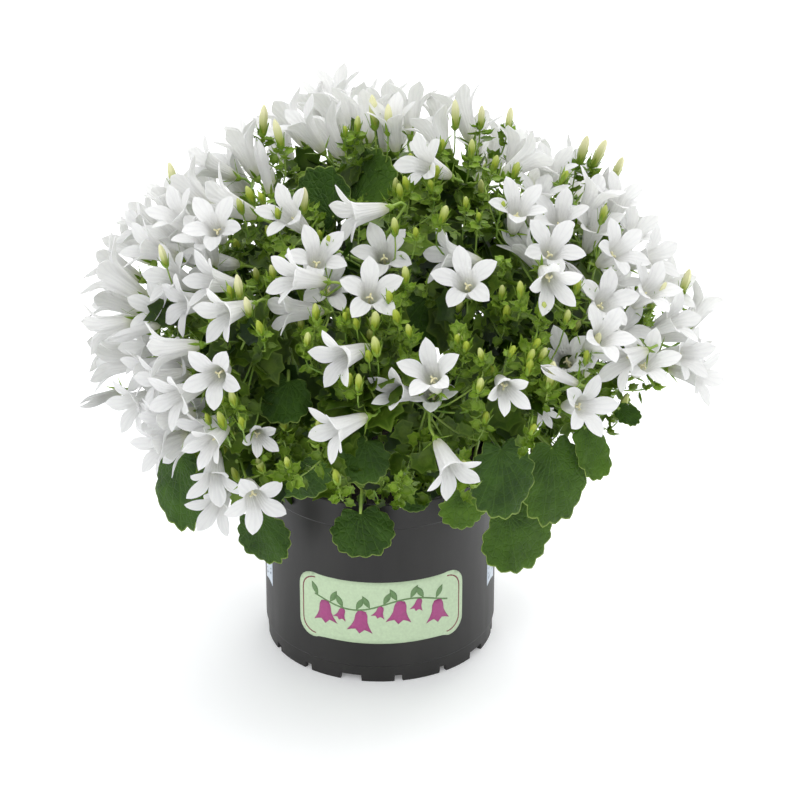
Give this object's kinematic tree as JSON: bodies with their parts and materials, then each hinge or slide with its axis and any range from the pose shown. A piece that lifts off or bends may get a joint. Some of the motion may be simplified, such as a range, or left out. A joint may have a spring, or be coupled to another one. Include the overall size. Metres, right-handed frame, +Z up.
{
  "type": "potted bellflower",
  "caption": "White star-shaped bellflower in bloom: a round dome of open bells over leafy stems, in a round black nursery pot with a toothed foot that stands on any flat surface.",
  "frame": {"origin": "middle of the whole plant's width and depth, on the surface that the pot stands on; the pot's own axis is 13.5 mm to the left of it, because the plant leans", "axes": "+Z up, -Y towards the side that the picture shows, +X to the right of that side"},
  "size_m": [0.3292, 0.3309, 0.2941],
  "materials": {
    "pot": "satin",
    "soil": "matte, crumbly peat and bark potting mix",
    "bloom": "matte, thin white petals with faint lilac veins",
    "large_leaf": "satin, fresh mid-green leaf with paler veins and margin",
    "stem_and_leaf": "satin, fresh light-green stems, small leaves and buds"
  },
  "bodies": {
    "root": {"blooms_back_left": "bloom", "blooms_back_left_high": "bloom", "blooms_back_middle": "bloom", "blooms_back_right": "bloom", "blooms_back_right_high": "bloom", "blooms_centre_left": "bloom", "blooms_centre_right": "bloom", "blooms_centre_top": "bloom", "blooms_front_left": "bloom", "blooms_front_left_hem": "bloom", "blooms_front_middle": "bloom", "blooms_front_right": "bloom", "blooms_left_crown": "bloom", "blooms_left_far": "bloom", "blooms_left_hem": "bloom", "blooms_left_inner": "bloom", "blooms_left_low": "bloom", "blooms_left_upper": "bloom", "blooms_right_crown": "bloom", "blooms_right_far": "bloom", "blooms_right_low": "bloom", "blooms_right_upper": "bloom", "blooms_top_left": "bloom", "blooms_top_middle": "bloom", "blooms_top_right": "bloom", "large_leaf_centre": "large_leaf", "large_leaf_left_dark": "large_leaf", "large_leaf_left_inner": "large_leaf", "large_leaf_left_middle": "large_leaf", "large_leaf_left_outer": "large_leaf", "large_leaf_left_under": "large_leaf", "large_leaf_pot_front": "large_leaf", "large_leaf_pot_left": "large_leaf", "large_leaf_pot_small": "large_leaf", "large_leaf_rear_left": "large_leaf", "large_leaf_rear_middle": "large_leaf", "large_leaf_rear_right": "large_leaf", "large_leaf_right_folded": "large_leaf", "large_leaf_right_front": "large_leaf", "large_leaf_right_hanging": "large_leaf", "large_leaf_right_low": "large_leaf", "large_leaf_right_outer": "large_leaf", "large_leaf_right_small": "large_leaf", "large_leaf_top_front": "large_leaf", "large_leaf_top_rear": "large_leaf", "leafy_stem_back_left": "stem_and_leaf", "leafy_stem_back_middle": "stem_and_leaf", "leafy_stem_back_right": "stem_and_leaf", "leafy_stem_front_left": "stem_and_leaf", "leafy_stem_front_middle": "stem_and_leaf", "leafy_stem_left_high": "stem_and_leaf", "leafy_stem_left_low": "stem_and_leaf", "leafy_stem_left_middle": "stem_and_leaf", "leafy_stem_right_high": "stem_and_leaf", "leafy_stem_right_low": "stem_and_leaf", "leafy_stem_top_left": "stem_and_leaf", "leafy_stem_top_middle": "stem_and_leaf", "leafy_stem_top_right": "stem_and_leaf", "pot": "pot", "soil": "soil"}
  },
  "joints": []
}
